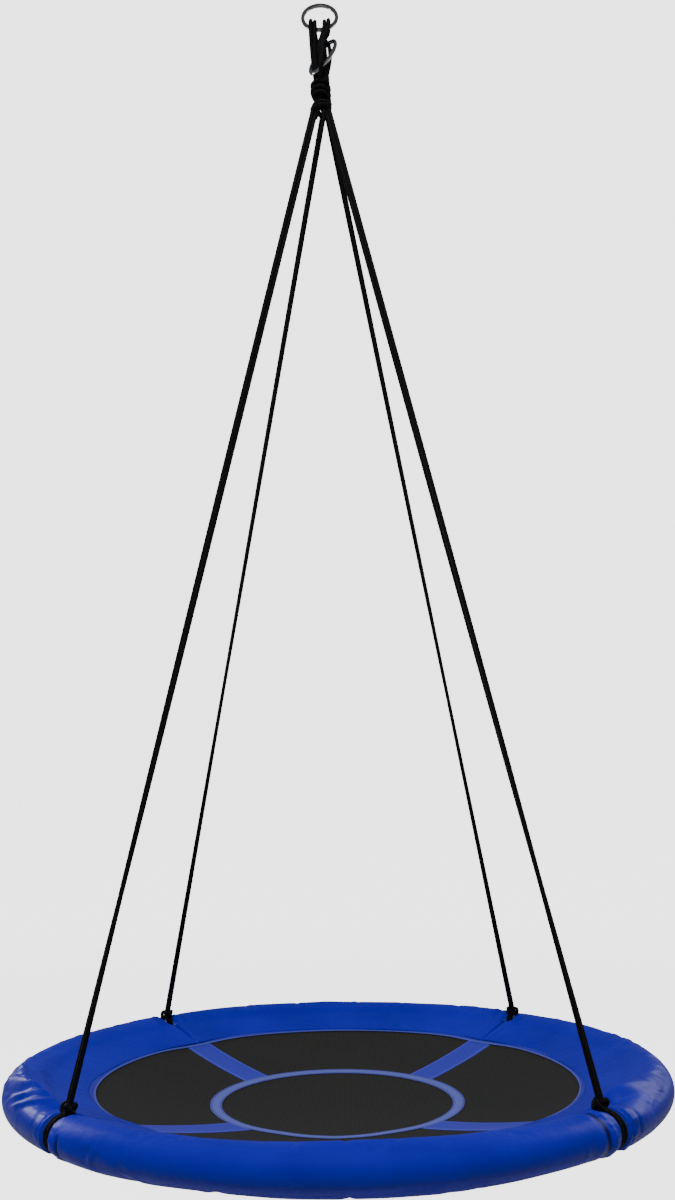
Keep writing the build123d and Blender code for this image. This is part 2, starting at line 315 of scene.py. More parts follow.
def pale_floor():
    """A floor that looks as bright as the white behind it, but glows for the camera only."""
    s = Shader("pale_floor", (0.8, 0.8, 0.8), 0.9)
    s.set("Specular IOR Level", 0.1)
    speck = s.noise(s.coordinates(), 3, 2)
    tone = s.ramp(speck, [(0.3, (0.54, 0.54, 0.54)), (0.7, (0.57, 0.57, 0.57))])
    s.link(tone, s.bsdf.inputs["Base Color"])
    away = s.node("ShaderNodeVectorMath", operation="LENGTH")
    s.link(s.coordinates(), away.inputs[0])
    glow = s.node("ShaderNodeMapRange")
    for name, value in (("From Min", NEAR), ("From Max", FAR),
                        ("To Min", FLOOR_GLOW), ("To Max", WHITE_GLOW)):
        glow.inputs[name].default_value = value
    s.link(away.outputs["Value"], glow.inputs["Value"])
    light = s.node("ShaderNodeEmission")
    s.link(glow.outputs["Result"], light.inputs["Strength"])
    lit = s.node("ShaderNodeAddShader")
    s.link(s.bsdf.outputs[0], lit.inputs[0])
    s.link(light.outputs[0], lit.inputs[1])
    seen = s.node("ShaderNodeMixShader")
    s.link(s.node("ShaderNodeLightPath").outputs["Is Camera Ray"], seen.inputs[0])
    s.link(s.bsdf.outputs[0], seen.inputs[1])
    s.link(lit.outputs[0], seen.inputs[2])
    s.link(seen.outputs[0], s.tree.nodes["Material Output"].inputs["Surface"])
    return s.material


COVER = cover_fabric()
MESH = seat_mesh_fabric()
SPOKE_TAPE = tape_webbing("spoke_webbing", (0.024, 0.024, 0.38), (0.046, 0.052, 0.54),
                          (0.09, 0.10, 0.62))
HOOP_TAPE = tape_webbing("hoop_webbing", (0.085, 0.10, 0.42), (0.15, 0.18, 0.58),
                         (0.05, 0.055, 0.34))
BINDING = tape_webbing("binding_tape", (0.014, 0.010, 0.30), (0.03, 0.03, 0.45),
                       (0.10, 0.12, 0.55))
ROPE = rope_yarn()
STEEL = polished_steel()
GALVANISED = galvanised_steel()
FOAM = grey_foam()


# ---------------------------------------------------------------- mesh helpers
def add_piece(name, verts, faces, material, body=None):
    """A smooth mesh object that rides on a body and takes a slot's finish, if they are given."""
    mesh = bpy.data.meshes.new(name)
    mesh.from_pydata([tuple(v) for v in verts], [], faces)
    mesh.materials.append(material)
    mesh.validate()
    piece = bpy.data.objects.new(name, mesh)
    bpy.context.scene.collection.objects.link(piece)
    mesh.polygons.foreach_set("use_smooth", [True] * len(mesh.polygons))
    mesh.update()
    if body:
        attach(piece, body)
    return piece


def grid_faces(rows, columns, closed_rows=False, closed_columns=False):
    """Quads of a grid whose vertex (row, column) is row * columns + column."""
    faces = []
    for r in range(rows if closed_rows else rows - 1):
        here, below = r * columns, (r + 1) % rows * columns
        for c in range(columns if closed_columns else columns - 1):
            beside = (c + 1) % columns
            faces.append((here + c, here + beside, below + beside, below + c))
    return faces


def mark_points(piece, name, values):
    """Gives each point a value, from 0 to 1, that a material reads by this name."""
    attribute = piece.data.attributes.new(name, "FLOAT", "POINT")
    attribute.data.foreach_set("value", values)


def apply_modifiers(piece):
    """Bakes a piece's modifiers into its mesh."""
    evaluated = piece.evaluated_get(bpy.context.evaluated_depsgraph_get())
    mesh = bpy.data.meshes.new_from_object(evaluated)
    mesh.name = piece.name
    piece.modifiers.clear()
    piece.data = mesh
    mesh.polygons.foreach_set("use_smooth", [True] * len(mesh.polygons))


def bell(value, middle, width, power=2):
    """1 at the middle, and falling to 0 beyond the width; a higher power has steeper sides."""
    return np.exp(-((value - middle) / width) ** power)


def ease(low, high, value):
    """0 below low, 1 above high, and smooth between them."""
    t = np.clip((value - low) / (high - low), 0, 1)
    return t * t * (3 - 2 * t)


def thicken(piece, thickness):
    """Gives a sheet its thickness, on the side away from its normals, and bakes it."""
    solid = piece.modifiers.new("thickness", "SOLIDIFY")
    solid.thickness = thickness
    solid.offset = -1
    apply_modifiers(piece)


def spline_line(points):
    """The points of the smooth line that has these control points."""
    curve = bpy.data.curves.new("route", "CURVE")
    curve.dimensions = "3D"
    curve.resolution_u = 16
    spline = curve.splines.new("NURBS")
    spline.points.add(len(points) - 1)
    for control, point in zip(spline.points, points):
        control.co = (*point, 1)
    spline.order_u = 3
    spline.use_endpoint_u = True
    bare = bpy.data.objects.new("route", curve)
    mesh = bpy.data.meshes.new_from_object(bare)
    line = np.array([v.co for v in mesh.vertices], float)
    bpy.data.objects.remove(bare)
    bpy.data.meshes.remove(mesh)
    bpy.data.curves.remove(curve)
    return line


def distances(line):
    """How far along a line each of its points is."""
    return np.concatenate([[0], np.cumsum(np.linalg.norm(np.diff(line, axis=0), axis=1))])


def spaced(line, step):
    """A line's points again, a given step apart."""
    along = distances(line)
    at = np.linspace(0, along[-1], max(3, math.ceil(along[-1] / step) + 1))
    return np.stack([np.interp(at, along, line[:, k]) for k in range(3)], axis=1)


def frames_along(line):
    """Tangent, and two directions across, at each point, turning as little as they can."""
    tangents = np.gradient(line, axis=0)
    tangents /= np.linalg.norm(tangents, axis=1)[:, None]
    across = np.cross(tangents[0], (0.3, 0.9, 0.2))
    across /= np.linalg.norm(across)
    firsts = []
    for tangent in tangents:
        across = across - tangent * (across @ tangent)
        across /= np.linalg.norm(across)
        firsts.append(across)
    firsts = np.array(firsts)
    return tangents, firsts, np.cross(tangents, firsts)


# The braid: how far a yarn goes along in one turn, how many go each way, and how far up it
# stands, as a share of the rope's radius. A rope's cut end is a low cone.
BRAID_PITCH = 13 * MM
BRAID_YARNS = 4
BRAID_LOW, BRAID_RELIEF = 0.97, 0.05
END_CONE, END_WEAVE = 0.35, 0.3


def rope(name, points, body, nodes, sides=16, step=1.7 * MM, radius=ROPE_R * 1.1):
    """A braided rope along the smooth line of these control points. Returns it and its line."""
    line = spaced(spline_line(points), step)
    tangents, first, second = frames_along(line)
    verts, weave = [], []
    for centre, a, b, s in zip(line, first, second, distances(line)):
        for k in range(sides):
            angle = 2 * math.pi * k / sides
            turn = 2 * math.pi * s / BRAID_PITCH
            one = math.cos(BRAID_YARNS * angle + turn)
            other = math.cos(BRAID_YARNS * angle - turn)
            high = max(one, other)
            r = radius * (BRAID_LOW + BRAID_RELIEF * high)
            verts.append(centre + r * (math.cos(angle) * a + math.sin(angle) * b))
            weave.append(0.5 + 0.5 * high)
    faces = grid_faces(len(line), sides, closed_columns=True)
    for end, centre, out in ((0, line[0], -tangents[0]), (len(line) - 1, line[-1], tangents[-1])):
        tip = len(verts)
        verts.append(centre + out * radius * END_CONE)
        weave.append(END_WEAVE)
        ring = [end * sides + k for k in range(sides)]
        for k in range(sides):
            pair = (ring[k], ring[(k + 1) % sides], tip)
            faces.append(pair if end else pair[::-1])
    piece = add_piece(name, verts, faces, ROPE, body)
    mark_points(piece, "weave", weave)
    if nodes:
        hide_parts(*nodes)
    return piece, line


# ---------------------------------------------------------------- camera, light and floor
# The camera stands 1.55 m in front of the swing's axis and 0.36 m above the rim, and looks up a
# little. Its shift takes in the rim below and the rings above. Angles are in radians.
CAMERA_YAW, CAMERA_PITCH, CAMERA_ROLL = -0.0256, 0.0431, 0.0160
CAMERA_FROM_AXIS, CAMERA_FROM_RIM = (0.0270, -1.5527), 0.3601
eye = Vector((AXIS.x + CAMERA_FROM_AXIS[0], AXIS.y + CAMERA_FROM_AXIS[1],
              RIM_Z + CAMERA_FROM_RIM))
forward = Vector((math.sin(CAMERA_YAW) * math.cos(CAMERA_PITCH),
                  math.cos(CAMERA_YAW) * math.cos(CAMERA_PITCH), math.sin(CAMERA_PITCH)))
right = Vector((math.cos(CAMERA_YAW), -math.sin(CAMERA_YAW), 0))
above = right.cross(forward)
turned = Matrix((right, above, -forward)).transposed().to_4x4()
camera_data = bpy.data.cameras.new("camera")
camera_data.lens = 29.35
camera_data.shift_x = 0.0110
camera_data.shift_y = 0.1643
camera = bpy.data.objects.new("camera", camera_data)
camera.matrix_world = (Matrix.Translation(eye) @ turned
                       @ Matrix.Rotation(-CAMERA_ROLL, 4, "Z"))
bpy.context.scene.collection.objects.link(camera)
bpy.context.scene.camera = camera


def area_light(name, x, y, above_rim, size, power, glints=True):
    """A round lamp, turned to the rim's middle. Without glints, no gloss shows it."""
    place = (x, y, RIM_Z + above_rim)
    data = bpy.data.lights.new(name, "AREA")
    data.shape, data.size, data.energy = "DISK", size, power
    lamp = bpy.data.objects.new(name, data)
    lamp.location = place
    aim = Vector((AXIS.x, AXIS.y, RIM_Z)) - Vector(place)
    lamp.rotation_euler = aim.to_track_quat("-Z", "Y").to_euler()
    lamp.visible_camera = False
    lamp.visible_glossy = glints
    bpy.context.scene.collection.objects.link(lamp)


area_light("key_softbox", -0.3, -1.5, 2.9, size=2.2, power=88, glints=False)
area_light("left_softbox", -2.4, 1.6, 1.1, size=1.0, power=22)
area_light("right_softbox", 2.4, 1.5, 1.3, size=1.8, power=16)


def studio_white():
    """White behind the swing, and much dimmer surroundings for what it reflects."""
    world = bpy.data.worlds.new("studio")
    world.use_nodes = True
    tree = world.node_tree
    room = tree.nodes["Background"]
    room.inputs["Color"].default_value = (0.9, 0.95, 1, 1)
    room.inputs["Strength"].default_value = ROOM_GLOW
    white = tree.nodes.new("ShaderNodeBackground")
    white.inputs["Color"].default_value = (1, 1, 1, 1)
    white.inputs["Strength"].default_value = WHITE_GLOW
    path = tree.nodes.new("ShaderNodeLightPath")
    choose = tree.nodes.new("ShaderNodeMixShader")
    tree.links.new(path.outputs["Is Camera Ray"], choose.inputs[0])
    tree.links.new(room.outputs[0], choose.inputs[1])
    tree.links.new(white.outputs[0], choose.inputs[2])
    tree.links.new(choose.outputs[0], tree.nodes["World Output"].inputs["Surface"])
    bpy.context.scene.world = world


studio_white()
FLOOR_Z = RIM_Z - 0.55
FLOOR_REACH = 60.0
floor_corners = [(x * FLOOR_REACH, y * FLOOR_REACH, FLOOR_Z)
                 for x, y in ((-1, -1), (1, -1), (1, 1), (-1, 1))]
add_piece("floor", floor_corners, [(0, 1, 2, 3)], pale_floor())

# ---------------------------------------------------------------- ropes at the head
# WIRE is the middle of the upper ring's wire at its bottom. Below it, the bundle of loops is
# turned: its columns stand along SIDE, and its two layers along DEEP. Each station of the bundle
# is, in mm, a drop below WIRE, a shift along DEEP, and how far from the middle each pair of
# columns is.
WIRE = Vector((0, AXIS.y, WIRE_Z))
SIDE = Vector((math.cos(math.radians(-45)), math.sin(math.radians(-45)), 0))
DEEP = Vector((-SIDE.y, SIDE.x, 0))
KNOT_DROP = 97
FRONT_STATIONS = [(KNOT_DROP, 3.5, 6.8), (75, 2.9, 7.6), (53.5, 0.0, 8.2), (33.5, -3.2, 8.0)]
BACK_STATIONS = [(KNOT_DROP, 3.5, 6.8), (72, 2.2, 7.6), (47.5, -1.2, 8.2), (22, -3.2, 8.0)]

# In mm: half the distance between the two ropes of a pair, and how far the bundle bows to the
# left between the ring and the knot, over how long a stretch. SPLAY is for the front ropes, just
# below the ring.
PAIR_HALF = 3.3
BOW, BOW_LENGTH = 1.5, 85
SPLAY = 0.07


def paired(column, pitch):
    """Where a column of the bundle lies across, in mm: the two ropes of a pair touch."""
    return math.copysign(pitch + (PAIR_HALF if abs(column) > 1 else -PAIR_HALF), column)


def bundle_point(column, layer, drop, shift, pitch):
    """A point of the bundle, at a station, in one column and the front or back layer."""
    across = SIDE * (paired(column, pitch) * MM)
    through = DEEP * (layer * LAYER_GAP / 2 + shift * MM)
    along = min(1, (KNOT_DROP - drop) / BOW_LENGTH)
    bow = Vector((-BOW * MM * math.sin(math.pi * along), 0, 0))
    return WIRE + across + through + bow - UP * (drop * MM)


def head_loop_points(column):
    """Up from the head knot in front, over the upper ring's wire, and down behind."""
    x = paired(column, 1.5 * PITCH / MM) * MM
    rise = RING_R - math.sqrt(RING_R**2 - x**2)
    wire_here = WIRE + Vector((x, rise * math.sin(LEAN), rise * math.cos(LEAN)))
    front = [bundle_point(column, -1, *station) for station in FRONT_STATIONS]
    front.append(wire_here + Vector((SPLAY * x, -LOOP_R, -ROPE_R)))
    front.append(wire_here + Vector((0, -LOOP_R, LOOP_R)))
    back = [bundle_point(column, 1, *station) for station in BACK_STATIONS]
    back.append(wire_here + Vector((0, LOOP_R, -ROPE_R)))
    back.append(wire_here + Vector((0, LOOP_R, LOOP_R)))
    return front + back[::-1]


COLUMNS = {"front_left": -1.5, "rear_left": -0.5, "rear_right": 0.5, "front_right": 1.5}
for corner, column in COLUMNS.items():
    node = f"head_loop_{corner}"
    piece, line = rope(f"{node}_rope", head_loop_points(column), "rope_bundle", [node])

# The small bight that holds the lower ring, in mm: along SIDE, along DEEP, and below WIRE.
BIGHT = [(8, -9.5, 98), (19.5, -17.5, 83), (22.5, -16.5, 62), (22, -14.6, 38.5),
         (22, 1, 38.5), (22, 1.5, 71), (14, -3.5, 99)]
bight_points = [WIRE + SIDE * (across * MM) + DEEP * (through * MM) - UP * (drop * MM)
                for across, through, drop in BIGHT]
piece, line = rope("ring_bight_rope", bight_points, "rope_bundle", ["ring_bight"])

# ---------------------------------------------------------------- hangers
# Where the hangers start, and where they end on the rim. A strand has a point LEAD from each end.
HANGER_TOP_Z = WIRE_Z - HANGER_TOP_DROP
HANGER_LOW_Z = RIM_Z + 33 * MM
HITCH_RADIUS = TUBE_PATH_R - 7 * MM
HANGER_LOW_R = HITCH_RADIUS - 3 * MM
LEAD = 6 * ROPE_D
PART_WAY = 0.6
# In plan, in mm: each hanger's top, then how far its strands stand from its middle at the top,
# part of the way down, and at the rim. A pair turns round itself by about a quarter.
HANGER_PLANS = {"front_left": [(-11, -6), (2.9, 0.9), (1.7, 2.7), (-2.0, 2.6)],
                "front_right": [(10.8, -6.6), (2.9, -0.9), (1.7, -2.7), (-2.0, -2.6)],
                "rear_right": [(10.5, 5), (2.2, 2.2), (0.6, 3.0), (-1.6, 2.7)],
                "rear_left": [(2, 11), (2.2, -2.2), (0.6, -3.0), (-1.6, -2.7)]}


def hanger_points(corner, azimuth, sign):
    """A taut strand: its two ends, a point near each, and one part way."""
    plan_top, top_step, mid_step, low_step = HANGER_PLANS[corner]
    top = Vector((plan_top[0] * MM, AXIS.y + plan_top[1] * MM, HANGER_TOP_Z))
    low = about(azimuth, HANGER_LOW_R, HANGER_LOW_Z)
    lead = (low - top).normalized() * LEAD
    start = top + Vector((*top_step, 0)) * (sign * MM)
    part_way = top.lerp(low, PART_WAY) + Vector((*mid_step, 0)) * (sign * MM)
    end = low + Vector((*low_step, 0)) * (sign * MM)
    return [start, start + lead, part_way, end - lead, end]


for corner, azimuth in CORNERS.items():
    for strand, sign in (("a", 1), ("b", -1)):
        node = f"hanger_{corner}_{strand}"
        piece, line = rope(f"{node}_rope", hanger_points(corner, azimuth, sign), "saucer",
                           [node], sides=12, step=2.2 * MM)

# ---------------------------------------------------------------- hitches on the rim
def knot_piece(name, points, body, nodes=(), radius=ROPE_R):
    """A rope that is part of a knot."""
    rope(name, points, body, nodes, sides=14, step=1.5 * MM, radius=radius)


# A knot on the rim: its place, its half width along the rim, its half depth and its lift.
RIM_KNOT_R, RIM_KNOT_Z = HITCH_RADIUS - 4 * MM, RIM_Z + 30.5 * MM
RIM_KNOT_HALF, RIM_KNOT_DEPTH, RIM_KNOT_LIFT = 11.5 * MM, 8 * MM, 5 * MM
TIGHT_R = 3.4 * MM
OVERHAND_POINTS = 22


def overhand(centre, across, through, lift):
    """Control points of an overhand knot, pulled tight, that lies in across and through."""
    points = []
    for k in range(OVERHAND_POINTS):
        t = 2 * math.pi * (k + 0.5) / OVERHAND_POINTS
        a = (math.sin(t) + 2 * math.sin(2 * t)) / 3
        b = (math.cos(t) - 2 * math.cos(2 * t)) / 3
        points.append(centre + across * a + through * b - lift * math.sin(3 * t))
    return points


# One turn round the bare tube, in mm: outward, and up from the tube's middle. A hitch has two,
# side by side, and closer together above TUBE_TOP, where they go into the knot.
BESIDE_LOW, BESIDE_HIGH, TUBE_TOP = 3.35, 2.4, 20
TURN = [(-11, 29), (-4, 23), (9, 20.5), (19.5, 9), (19.5, -9), (9, -19.5), (-9, -19.5),
        (-19.5, -9), (-19.5, 8), (-17, 20), (-12, 28)]
for corner, azimuth in CORNERS.items():
    centre = about(azimuth, TUBE_PATH_R, RIM_Z)
    along = about(azimuth + 90, 1, 0) - AXIS
    out = about(azimuth, 1, 0) - AXIS
    points = []
    for side, turn in ((1, TURN), (-1, TURN[::-1])):
        for x, z in turn:
            beside = BESIDE_LOW if z < TUBE_TOP else BESIDE_HIGH
            points.append(centre + along * (side * beside * MM) + (out * x + UP * z) * MM)
    piece, line = rope(f"rim_hitch_{corner}_rope", points, "saucer", [f"rim_hitch_{corner}"])
    top = about(azimuth, RIM_KNOT_R, RIM_KNOT_Z)
    knot = overhand(top, along * RIM_KNOT_HALF, out * RIM_KNOT_DEPTH, UP * RIM_KNOT_LIFT)
    knot_piece(f"rim_knot_{corner}_rope", knot, "saucer", [f"rim_knot_{corner}"], TIGHT_R)


# ---------------------------------------------------------------- knots at the head
# A coil's points in each turn, the direction it leans to, in radians, and its uneven radius.
COIL_POINTS, LEAN_TOWARDS, UNEVEN = 12, 0.6, 0.06
CORE_POINTS = 6


def coil(first_drop, last_drop, radius, turns, start, lean):
    """Control points of a rope wound round the swing's axis, each turn leaning by lean."""
    points, count = [], round(COIL_POINTS * turns)
    for k in range(count + 1):
        a = math.radians(start + 360 * turns * k / count)
        drop = first_drop + (last_drop - first_drop) * k / count
        drop += lean * math.cos(a - LEAN_TOWARDS)
        r = radius * (1 + UNEVEN * math.cos(2 * a + k))
        points.append(WIRE + Vector((r * math.cos(a), r * math.sin(a), -drop)))
    return points


def core(name, body, low_drop, high_drop, radius, count, twist):
    """Strands side by side, twisted, inside a knot."""
    last = CORE_POINTS - 1
    for k in range(count):
        points = []
        for j in range(CORE_POINTS):
            a = math.radians(360 * k / count + twist * j / last)
            drop = low_drop + (high_drop - low_drop) * j / last
            points.append(WIRE + Vector((radius * math.cos(a), radius * math.sin(a), -drop)))
        knot_piece(f"{name}_{k}", points, body)


# The rope wound round the outside of a knot.
WRAP_R = 3.5 * MM
core("head_knot_core", "head_knot", low_drop=124 * MM, high_drop=98 * MM, radius=9 * MM,
     count=7, twist=80)
head_wrap = coil(120 * MM, 93 * MM, radius=13.9 * MM, turns=2.9, start=200, lean=4.5 * MM)
knot_piece("head_knot_wrap", head_wrap, "head_knot", ["head_knot"], WRAP_R)
core("hanger_knot_core", "saucer", low_drop=HANGER_TOP_DROP, high_drop=126.6 * MM,
     radius=9.5 * MM, count=8, twist=40)
hanger_wrap = coil(139 * MM, 129 * MM, radius=14.8 * MM, turns=1.9, start=120, lean=-2.5 * MM)
knot_piece("hanger_knot_wrap", hanger_wrap, "saucer", ["hanger_knot"], WRAP_R)

# The cut end that hangs out of the hanger knot, in mm: where it comes out, and its points from
# there.
tail_top = WIRE + Vector((4, -9, -139)) * MM
TAIL = [(0, 0, 0), (0.5, -1, -14), (-1.5, 0, -30), (-6, 1.5, -48)]
knot_piece("hanger_knot_tail", [tail_top + Vector(step) * MM for step in TAIL], "saucer")


# ---------------------------------------------------------------- rim covers
# Half the cover's thickness at its seam.
TIP_HALF = 2.4 * MM


def tangent_point(x, z, sign):
    """Where a line from (x, z) touches the rim's circle, above for +1 or below for -1."""
    dx = TUBE_PATH_R - x
    reach = math.hypot(dx, z)
    length = math.sqrt(reach**2 - RIM_R**2)
    angle = math.atan2(-z, dx) + sign * math.atan2(RIM_R, length)
    return x + length * math.cos(angle), z + length * math.sin(angle)


def cover_outline(skirt_steps, arc_steps):
    """The cover's section from the seam's top, over the tube, to the seam's bottom.

    Each point is a radius, a height, and the radius and height of its outward direction."""
    top = (SEAM_R, -EDGE_DROP + TIP_HALF)
    bottom = (SEAM_R, -EDGE_DROP - TIP_HALF)
    touch_top, touch_bottom = tangent_point(*top, 1), tangent_point(*bottom, -1)
    start = math.atan2(touch_top[1], touch_top[0] - TUBE_PATH_R)
    end = math.atan2(touch_bottom[1], touch_bottom[0] - TUBE_PATH_R)
    if end > start:
        end -= 2 * math.pi
    points = []
    for k in range(skirt_steps):
        t = k / skirt_steps
        points.append((top[0] + (touch_top[0] - top[0]) * t,
                       top[1] + (touch_top[1] - top[1]) * t, math.cos(start), math.sin(start)))
    for k in range(arc_steps + 1):
        a = start + (end - start) * k / arc_steps
        points.append((TUBE_PATH_R + RIM_R * math.cos(a), RIM_R * math.sin(a),
                       math.cos(a), math.sin(a)))
    for k in range(1, skirt_steps + 1):
        t = k / skirt_steps
        points.append((touch_bottom[0] + (bottom[0] - touch_bottom[0]) * t,
                       touch_bottom[1] + (bottom[1] - touch_bottom[1]) * t,
                       math.cos(end), math.sin(end)))
    return np.array(points)


# The section's points, and how far over the cloth each is from the seam's top. The tube's top and
# its outermost point are at these distances over.
OUTLINE = cover_outline(skirt_steps=14, arc_steps=38)
OVER = np.concatenate([[0], np.cumsum(np.hypot(*np.diff(OUTLINE[:, :2], axis=0).T))])
TOP_OF_TUBE = 95 * MM
OUTSIDE = 137 * MM

# A section's length along the tube, and its rows of points. It stops short beside the ropes, and
# laps over the next section on the skirt, which ends where the tube's padding begins.
QUARTER = math.pi / 2 * TUBE_PATH_R
ROWS = 240
ROPE_GAP = 6.9 * MM
OVERLAP = 0.8 * MM
SKIRT_END, TUBE_START = 434 * MM, 452 * MM

# How many creases of each kind a section has: long and short ones at the front corner of the
# left and right sections, and on every section faint ones on the tube and puckers at the seam.
LONG_CREASES, SHORT_CREASES, FAINT_CREASES, PUCKERS = 20, 16, 14, 9
FADE_LENGTH = 500 * MM


def corner_creases(draw, left):
    """Creases that spread from a section's first end, wider and lower on the right section."""
    wide, tall, short_tall = (1.0, 1.0, 1.0) if left else (1.35, 0.7, 0.6)
    folds = []
    for k in range(LONG_CREASES):
        t = k / (LONG_CREASES - 1)
        near = draw.uniform(14, 60) * MM
        far = near + (60 + 290 * t) * MM
        over = OUTSIDE - (38 - 50 * draw.random()) * MM * (1 - 0.35 * t)
        ends = [near, TOP_OF_TUBE - draw.uniform(4, 26) * MM, far, over]
        width = draw.uniform(4.0, 7.5) * MM * wide
        height = draw.uniform(2.2, 4.6) * MM * tall * (1 - 0.5 * t)
        folds.append((ends, width, height))
    for k in range(SHORT_CREASES):
        s = draw.uniform(120, 470) * MM
        q = OUTSIDE + draw.uniform(-40, 4) * MM
        length = draw.uniform(25, 70) * MM
        ends = [s, q - length * 0.35, s + length, q + length * draw.uniform(0.1, 0.4)]
        height = draw.uniform(1.6, 3.8) * MM * short_tall
        height *= 1 - 0.75 * s / FADE_LENGTH
        folds.append((ends, draw.uniform(3.2, 5.5) * MM, height))
    return folds


def cover_folds(side_name):
    """Creases of one section: along and over at each end, width and height, in metres."""
    draw = random.Random(f"{side_name} folds")
    folds = []
    if side_name in ("left", "right"):
        folds = corner_creases(draw, side_name == "left")
    if side_name == "left":
        # Its last end is the front corner.
        folds = [([QUARTER - e[0], e[1], QUARTER - e[2], e[3]], w, h) for e, w, h in folds]
    for k in range(FAINT_CREASES):
        s = QUARTER * (k + draw.uniform(0.1, 0.9)) / FAINT_CREASES
        q = draw.uniform(70, 150) * MM
        ends = [s, q, s + draw.uniform(-18, 18) * MM, q + draw.uniform(18, 60) * MM]
        width = draw.uniform(4, 8) * MM
        folds.append((ends, width, draw.uniform(0.5, 1.7) * MM * draw.choice((-1, 1))))
    for k in range(PUCKERS):
        s = QUARTER * (k + draw.uniform(0.1, 0.9)) / PUCKERS
        ends = [s, 2 * MM, s + draw.uniform(-14, 14) * MM, draw.uniform(30, 85) * MM]
        width = draw.uniform(4, 9) * MM
        folds.append((ends, width, draw.uniform(0.4, 1.2) * MM * draw.choice((-1, 1))))
    return folds


def fold_lift(s, q, ends, width, height):
    """How far a crease lifts the cloth: a ridge with a dip on one side, fading at its ends."""
    s0, q0, s1, q1 = ends
    length = math.hypot(s1 - s0, q1 - q0)
    ds, dq = (s1 - s0) / length, (q1 - q0) / length
    t = ((s - s0) * ds + (q - q0) * dq) / length
    d = ((s - s0) * -dq + (q - q0) * ds) / width
    inside = np.clip(t, 0, 1)
    fade = np.sin(math.pi * np.clip(0.12 + 0.88 * inside, 0, 1)) ** 0.7
    beyond = bell((t - inside) * length, 0, 6 * MM)
    return height * fade * beyond * (bell(d, 0, 1) - 0.45 * bell(d, 1.7, 1.2))


def front_ends(lift, s, from_first, from_last, around, on_tube):
    """Shapes the front section; returns its painted shade in the elastic's groove and the fold.

    Its last end has an elastic with a swell on each side, and its first end a C-shaped fold.
    A dent crosses it between them."""
    elastic = bell(from_last, 29 * MM, 3.4 * MM, 4) * on_tube
    lift -= 3.0 * MM * elastic
    lift += 2.4 * MM * bell(from_last, 18 * MM, 6 * MM) * on_tube
    lift += 1.5 * MM * bell(from_last, 40 * MM, 8 * MM) * on_tube
    fold = bell(around, -0.35, 0.7, 4) * bell(from_first, 25 * MM, 3 * MM, 4) * on_tube
    lift -= 2.6 * MM * fold
    dent = bell(s - 395 * MM, 10 * MM * np.sin(2 * around), 4 * MM)
    lift -= 1.6 * MM * dent * on_tube
    return elastic + fold


def tied_ends(lift, to_end, on_tube):
    """Shapes any other section, with a shallow groove near each end; returns its painted shade."""
    tie = bell(to_end, 24 * MM, 4 * MM) * on_tube
    lift -= 1.6 * MM * tie
    return 0.25 * tie


